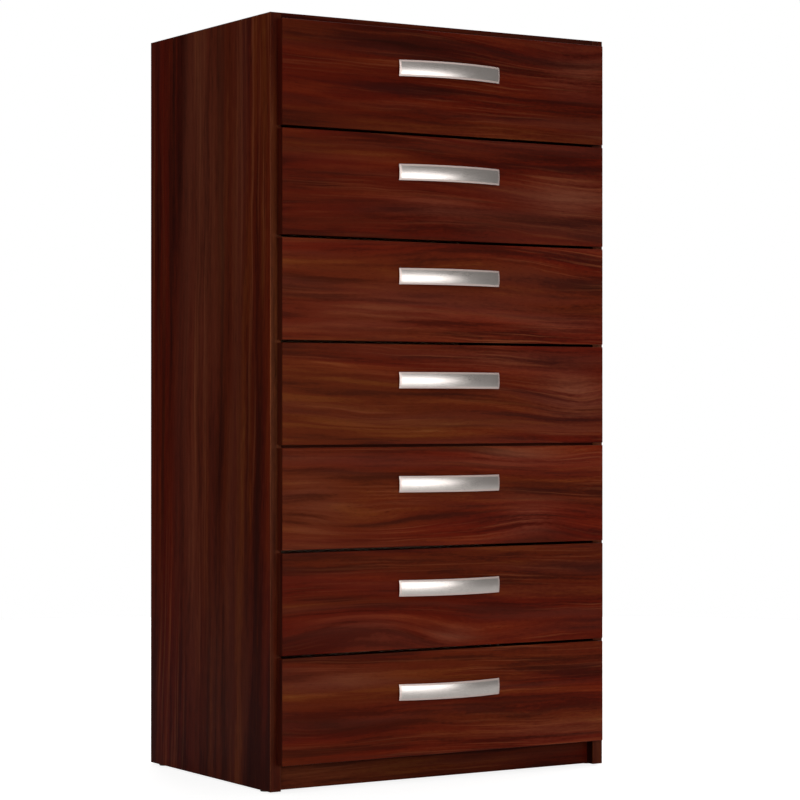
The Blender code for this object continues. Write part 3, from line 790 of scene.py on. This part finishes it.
def cam_disc():
    """Cam fitting: a die-cast disc with a cross recess and a raised rim, seated at Z = 0."""
    rim = CAM_RADIUS
    body, end, face = rim - 0.0004, -0.0060, 0.0003
    profile = [(0, end), (body, end), (body, 0), (rim, 0.0001), (rim, 0.0005),
               (rim - 0.0007, 0.0008), (rim - 0.0014, face), (0, face)]
    return template_of("cam_disc", lathe(profile, 36), cross_recess(0.0013, 0.0066, 0.0016, face))


def pin_head():
    """Domed head of a back pin, sitting on Z = 0."""
    radius, height = 0.0021, 0.0008
    shank, end = radius * 0.4, -0.002
    profile = [(0, end), (shank, end), (shank, 0), (radius, 0.0001)]
    for angle in (30, 55, 75):
        profile.append((radius * math.cos(math.radians(angle)), height * math.sin(math.radians(angle))))
    profile.append((0, height))
    return template_of("pin_head", lathe(profile, 16), [])


PAN_HEAD = pan_head()
SUNK_HEAD = sunk_head()
CAM_DISC = cam_disc()
PIN_HEAD = pin_head()


def make_back_pins():
    """Pins up both edges of the back sheets, and along their top and the bottom panel."""
    draw = random.Random(4)
    low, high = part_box("back_sheet_lower")
    inset = REBATE_WIDTH / 2
    places = []
    rows = int((BACK_TOP_Z - low.z) / PIN_SPACING)
    for row in range(rows + 1):
        z = low.z + PIN_FOOT + row * (BACK_TOP_Z - low.z - PIN_MARGIN) / rows
        for x in (low.x + inset, high.x - inset):
            spot = Vector((x, high.y, z + draw.uniform(-PIN_SCATTER, PIN_SCATTER)))
            places.append(pointing(spot, (0, 1, 0)))
    for column in range(1, PIN_GAPS_ACROSS):
        x = low.x + column * (high.x - low.x) / PIN_GAPS_ACROSS
        for z in (BACK_TOP_Z - inset, BASE_UNDER_Z + PIN_LOW_ROW):
            spot = Vector((x + draw.uniform(-PIN_SCATTER, PIN_SCATTER), high.y, z))
            places.append(pointing(spot, (0, 1, 0)))
    finished(scattered("back_pins", PIN_HEAD, places, ZINC), "carcass", "handle_metal")


def make_corner_blocks():
    """Small plastic blocks behind the plinth that hold it to the bottom panel."""
    size = Vector(BLOCK_SIZE)
    bm = bmesh.new()
    for x in BLOCK_PLACES:
        centre = Vector((x, PLINTH_BACK_Y + FIT_GAP + size.y / 2, BASE_UNDER_Z - FIT_GAP - size.z / 2))
        add_to(bm, box_mesh(centre - size / 2, centre + size / 2, BLOCK_ROUND))
    finished(as_object("plinth_blocks", bm, PALE_PLASTIC), "carcass", "runner_plastic")


def make_carcass_cams():
    """Cam fittings under the top panel and under the bottom panel, next to each side."""
    places = []
    for label, side in SIDES:
        for y in (CARCASS_Y + CARCASS_CAM_FRONT, REAR_Y - CARCASS_CAM_REAR):
            x = side * (INNER_X - CARCASS_CAM_INSET)
            for z, turn in ((top_low.z, 0.3), (BASE_UNDER_Z, 1.0)):
                places.append(pointing(Vector((x, y, z)), (0, 0, -1), turn))
    finished(scattered("carcass_cams", CAM_DISC, places, ZINC), "carcass", "handle_metal")


# ---------------------------------------------------------------- drawers
def make_front(number):
    node = "drawer_%d_front" % number
    low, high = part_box(node)
    piece = as_object(node + "_board", box_mesh(low, high, EDGE_ROUND),
                      front_material(number), SHADED_END_TAPE, SHADED_LEVEL_TAPE)
    sheet_bottom, sheet_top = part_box("drawer_%d_bottom" % number)
    groove = box_mesh((sheet_bottom.x - FIT_GAP, sheet_bottom.y - FIT_GAP, sheet_bottom.z - FIT_GAP),
                      (sheet_top.x + FIT_GAP, high.y + BOX_WALL, sheet_top.z + FIT_GAP))
    carve(piece, [groove])

    def rule(normal, centre):
        if flat_towards(normal, X):
            return FRONT_ENDS
        return FRONT_LEVELS if flat_towards(normal, Z) else FACE
    paint(piece, rule)
    finished(piece, "drawer_%d" % number, "front_laminate", node)


def spaced(length, rim, inner):
    """Places along a length: close together over the rims, then even."""
    near = [rim * share for share in RIM_STEPS]
    places = [-length / 2 + step for step in near]
    start = length / 2 - near[-1]
    places += [-start + 2 * start * (step + 1) / (inner + 1) for step in range(inner)]
    places += [length / 2 - step for step in reversed(near)]
    return places


def handle_outline(length, height):
    """How far the outer face stands off at each place: bow, crown and a chamfered rim."""
    radius = ((length / 2) ** 2 + HANDLE_BOW ** 2) / (2 * HANDLE_BOW)

    def offset(along, across):
        bow = math.sqrt(radius ** 2 - along ** 2) - (radius - HANDLE_BOW)
        crown = HANDLE_CROWN * (1 - (2 * across / height) ** 2)
        border = min(length / 2 - abs(along), height / 2 - abs(across))
        drop = RIM_DROP * max(0.0, 1 - border / RIM_WIDTH)
        return bow + crown - drop
    return offset


def make_handle(number):
    """Bowed and crowned strip with a chamfered rim, on two posts."""
    node = "drawer_%d_handle" % number
    low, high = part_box(node)
    length, height = high.x - low.x, high.z - low.z
    centre_z = (low.z + high.z) / 2
    foot_y = FRONT_FACE_Y - FIT_GAP
    offset = handle_outline(length, height)
    columns = spaced(length, RIM_WIDTH, HANDLE_COLUMNS)
    rows = spaced(height, RIM_WIDTH, HANDLE_ROWS)
    bm = bmesh.new()
    bmesh.ops.create_grid(bm, x_segments=len(columns) - 1, y_segments=len(rows) - 1, size=0.5)
    for vert in bm.verts:
        along = columns[round((vert.co.x + 0.5) * (len(columns) - 1))]
        across = rows[round((vert.co.y + 0.5) * (len(rows) - 1))]
        vert.co = Vector((along, foot_y - HANDLE_THICKNESS - offset(along, across), centre_z + across))
    for face in bm.faces:
        middle = face.calc_center_median()
        border = min(length / 2 - abs(middle.x), height / 2 - abs(middle.z - centre_z))
        face.material_index = STRIP_RIM if border < RIM_WIDTH else STRIP_FACE
    strip = as_object(node + "_strip", bm, METAL, HIGHLIT_RIM_METAL)
    thick = strip.modifiers.new("thickness", "SOLIDIFY")
    thick.thickness = HANDLE_THICKNESS - RIM_DROP
    thick.offset = -1
    rim = strip.modifiers.new("rim", "BEVEL")
    rim.width = RIM_BEVEL
    rim.segments = 2
    rim.limit_method = "ANGLE"
    rim.angle_limit = math.radians(55)
    settle(strip)
    smooth(strip, 12)
    finished(strip, "drawer_%d" % number, "handle_metal", node)

    reach = offset(SCREW_SPREAD, 0.0) + HANDLE_THICKNESS * POST_SINK
    profile = [(0, 0), (POST_RADIUS - POST_CHAMFER, 0), (POST_RADIUS, POST_CHAMFER), (POST_RADIUS, reach),
               (0, reach)]
    template = template_of("post", lathe(profile, 32), [])
    places = [pointing(Vector((side * SCREW_SPREAD, foot_y, centre_z)), (0, -1, 0)) for label, side in SIDES]
    finished(scattered(node + "_posts", template, places, METAL), "drawer_%d" % number, "handle_metal")


def make_handle_screws(number):
    low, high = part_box("drawer_%d_handle" % number)
    centre_z = (low.z + high.z) / 2
    places = []
    for label, side in SIDES:
        spot = Vector((side * SCREW_SPREAD, FRONT_BACK_Y, centre_z))
        places.append(pointing(spot, (0, 1, 0), 0.4 + number * 0.7 + side))
    name = "drawer_%d_handle_screws" % number
    finished(scattered(name, PAN_HEAD, places, ZINC), "drawer_%d" % number, "handle_metal")


def prism(outline, low_z, high_z, rounding):
    """A flat outline raised to a closed board with slightly rounded edges."""
    bm = bmesh.new()
    base = bm.faces.new([bm.verts.new((x, y, low_z)) for x, y in outline])
    raised = bmesh.ops.extrude_face_region(bm, geom=[base])
    moved = [item for item in raised["geom"] if isinstance(item, bmesh.types.BMVert)]
    bmesh.ops.translate(bm, vec=(0, 0, high_z - low_z), verts=moved)
    bmesh.ops.recalc_face_normals(bm, faces=bm.faces)
    bmesh.ops.bevel(bm, geom=bm.edges[:], offset=rounding, segments=2, profile=0.5, affect="EDGES")
    return bm


def make_box(number):
    """The folded board: two sides and a back, mitred where the board folds."""
    node = "drawer_%d_box" % number
    low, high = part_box(node)
    wall = BOX_WALL
    seam = FOLD_SEAM
    left = [(low.x, low.y), (low.x + wall, low.y),
            (low.x + wall, high.y - wall - seam), (low.x, high.y - seam)]
    right = [(-x, y) for x, y in reversed(left)]
    back = [(low.x + seam, high.y), (low.x + wall + seam, high.y - wall),
            (high.x - wall - seam, high.y - wall), (high.x - seam, high.y)]
    bm = bmesh.new()
    for outline in (left, back, right):
        add_to(bm, prism(outline, low.z, high.z, FOLD_ROUND))
    piece = as_object(node + "_folded", bm, BOX_FOIL, RAW_BOARD)
    sheet_bottom, sheet_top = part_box("drawer_%d_bottom" % number)
    cutters = [box_mesh((sheet_bottom.x - FIT_GAP, low.y - wall, sheet_bottom.z - FIT_GAP),
                        (sheet_top.x + FIT_GAP, sheet_top.y + FIT_GAP, sheet_top.z + FIT_GAP))]
    centre_z = (low.z + high.z) / 2
    for label, side in SIDES:
        runner_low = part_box("drawer_%d_%s_runner" % (number, label))[0]
        groove_x = sorted((side * (high.x - GROOVE_DEPTH), side * OUTER_X))
        cutters.append(box_mesh((groove_x[0], runner_low.y - GROOVE_START, centre_z - GROOVE_HEIGHT / 2),
                                (groove_x[1], high.y + wall, centre_z + GROOVE_HEIGHT / 2)))
    carve(piece, cutters)
    front_end = low.y + RAW_END_DEPTH

    def rule(normal, centre):
        return CUT_END if flat_towards(normal, Y, -1) and centre.y < front_end else FOILED
    paint(piece, rule)
    finished(piece, "drawer_%d" % number, "drawer_foil", node)


def make_drawer_bottom(number):
    node = "drawer_%d_bottom" % number
    low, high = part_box(node)
    sheet = box_mesh(low, high, BOTTOM_ROUND, segments=1)
    piece = as_object(node + "_sheet", sheet, SMOOTH_BOARD, ROUGH_BOARD)
    paint(piece, lambda normal, centre: SMOOTH_SIDE if normal.z > 0.5 else ROUGH_SIDE)
    finished(piece, "drawer_%d" % number, "drawer_bottom_board", node)


def make_box_cams(number):
    """Cam fittings that draw each box side up to the front."""
    low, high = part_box("drawer_%d_box" % number)
    centre_z = (low.z + high.z) / 2
    places = []
    for label, side in SIDES:
        for rise in (-CAM_SPREAD, CAM_SPREAD):
            spot = Vector((side * (high.x - BOX_WALL), low.y + CAM_SETBACK, centre_z + rise))
            places.append(pointing(spot, (-side, 0, 0), 0.5 * number + rise * 20))
    name = "drawer_%d_cams" % number
    finished(scattered(name, CAM_DISC, places, ZINC), "drawer_%d" % number, "handle_metal")


def make_runner(number, label, side):
    node = "drawer_%d_%s_runner" % (number, label)
    dress(node, PALE_PLASTIC)
    low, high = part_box(node)
    nose_x = low.x if side > 0 else high.x
    centre_z = (low.z + high.z) / 2
    places = []
    for along in RUNNER_SCREW_PLACES:
        spot = Vector((nose_x + side * RUNNER_SCREW_RISE, low.y + along * (high.y - low.y), centre_z))
        places.append(pointing(spot, (-side, 0, 0), number + 3 * along))
    finished(scattered(node + "_screws", SUNK_HEAD, places, ZINC), "carcass", "handle_metal")


def make_drawer(number):
    make_front(number)
    make_handle(number)
    make_handle_screws(number)
    make_box(number)
    make_drawer_bottom(number)
    make_box_cams(number)
    for label, side in SIDES:
        make_runner(number, label, side)


# ---------------------------------------------------------------- studio
FLOOR_RADIUS = 3.0
# how much of its own light the pale floor shows to the camera and in reflections
FLOOR_GLOW_SEEN = 0.83
FLOOR_GLOW_REFLECTED = 0.20
# name, centre, target, width, height, watts, shape
LIGHTS = (
    ("handle_softbox", (0.28, CARCASS_Y - 2.9, 0.60), (0.28, CARCASS_Y, 0.60), 3.3, 0.98, 23, "ELLIPSE"),
    ("key_softbox", (-2.8, -3.9, 1.5), (0, 0, 0.55), 2.0, 2.0, 74, "RECTANGLE"),
    ("overhead", (0.7, 0.5, 3.4), (0.4, 0.3, 0), 4.0, 4.0, 50, "RECTANGLE"),
    ("right_fill", (2.9, 1.1, 1.2), (0, 0, 0.6), 1.8, 1.8, 45, "RECTANGLE"),
    ("rear_fill", (1.4, 3.4, 1.9), (0, 0, 0.5), 2.0, 2.0, 50, "RECTANGLE"),
)
CAMERA_PLACE = (-2.1683, CARCASS_Y - 3.3631, side_low.z + 0.5624)
CAMERA_YAW = 31.88
CAMERA_LENS = 118.26
CAMERA_SENSOR = 36.0
CAMERA_SHIFT_Y = 0.00994
CAMERA_REACH = 60.0


def make_floor():
    bm = bmesh.new()
    bmesh.ops.create_circle(bm, cap_ends=True, segments=96, radius=FLOOR_RADIUS)
    material, graph, shader = new_material("studio_floor")
    cloud = graph.noise(object_place(graph), (1.4, 1.4, 1.4), 3.0, 0.5)
    graph.put(shader.inputs["Base Color"], graph.mix(graph.span(cloud, 0.3, 0.7), srgb(168, 168, 167),
                                                     srgb(174, 174, 173)))
    graph.put(shader.inputs["Roughness"], graph.span(cloud, 0.3, 0.7, 0.80, 0.90))
    shader.inputs["Specular IOR Level"].default_value = 0.1
    shader.inputs["Emission Color"].default_value = (1, 1, 1, 1)
    path = graph.node("ShaderNodeLightPath")
    graph.put(shader.inputs["Emission Strength"], graph.math(
        "ADD", graph.math("MULTIPLY", path.outputs["Is Camera Ray"], FLOOR_GLOW_SEEN),
        graph.math("MULTIPLY", path.outputs["Is Glossy Ray"], FLOOR_GLOW_REFLECTED)))
    floor = as_object("studio_floor", bm, material)


def area_light(name, centre, target, width, height, power, shape):
    data = bpy.data.lights.new(name, "AREA")
    data.shape = shape
    data.size = width
    data.size_y = height
    data.energy = power
    light = bpy.data.objects.new(name, data)
    light.location = centre
    light.rotation_euler = (Vector(target) - Vector(centre)).to_track_quat("-Z", "Y").to_euler()
    bpy.context.scene.collection.objects.link(light)


def make_world():
    """A white backdrop to the camera and a dim grey room to everything else."""
    world = bpy.data.worlds.new("studio")
    world.use_nodes = True
    bpy.context.scene.world = world
    world.node_tree.nodes.clear()
    graph = Graph(world.node_tree)
    white = graph.node("ShaderNodeBackground", {"Color": (1, 1, 1, 1), "Strength": 1.0})
    direction = graph.node("ShaderNodeTexCoord").outputs["Generated"]
    dim = graph.span(graph.split(direction)[1], -0.1, 0.7, 0.22, 0.10)
    room = graph.node("ShaderNodeBackground", {"Color": (1.0, 0.97, 0.95, 1), "Strength": dim})
    path = graph.node("ShaderNodeLightPath")
    mixed = graph.node("ShaderNodeMixShader", {0: path.outputs["Is Camera Ray"]})
    graph.put(mixed.inputs[1], room.outputs[0])
    graph.put(mixed.inputs[2], white.outputs[0])
    graph.node("ShaderNodeOutputWorld", {0: mixed.outputs[0]})


def make_camera():
    """Eye level just under the chest's middle, square verticals, a long lens from the left."""
    data = bpy.data.cameras.new("camera")
    data.sensor_width = CAMERA_SENSOR
    data.lens = CAMERA_LENS
    data.shift_y = CAMERA_SHIFT_Y
    data.clip_end = CAMERA_REACH
    camera = bpy.data.objects.new("camera", data)
    camera.location = CAMERA_PLACE
    camera.rotation_euler = (math.radians(90), 0, -math.radians(CAMERA_YAW))
    bpy.context.scene.collection.objects.link(camera)
    bpy.context.scene.camera = camera


def set_display():
    settings = bpy.context.scene.view_settings
    settings.view_transform = "Standard"
    settings.look = "None"
    settings.exposure = 0.0
    settings.gamma = 1.0


# ---------------------------------------------------------------- assembly
for side_label, side_sign in SIDES:
    make_side_panel(side_label, side_sign)
make_level_board("top_board", "top_panel", SHADED_TOP_TAPE)
make_level_board("bottom_board", "bottom_panel")
make_level_board("front_plinth_board", "front_plinth", SHADED_PLINTH_WOOD)
make_level_board("rear_plinth_board", "rear_plinth")
make_level_board("middle_rail_board", "middle_rail")
make_front_tapes()
make_back()
make_back_pins()
make_corner_blocks()
make_carcass_cams()
for glide in ("front_left", "rear_left", "front_right", "rear_right"):
    dress("glide_" + glide, GLIDE_PLASTIC)
for drawer_number in DRAWERS:
    make_drawer(drawer_number)

make_floor()
make_world()
for light_row in LIGHTS:
    area_light(*light_row)
make_camera()
set_display()
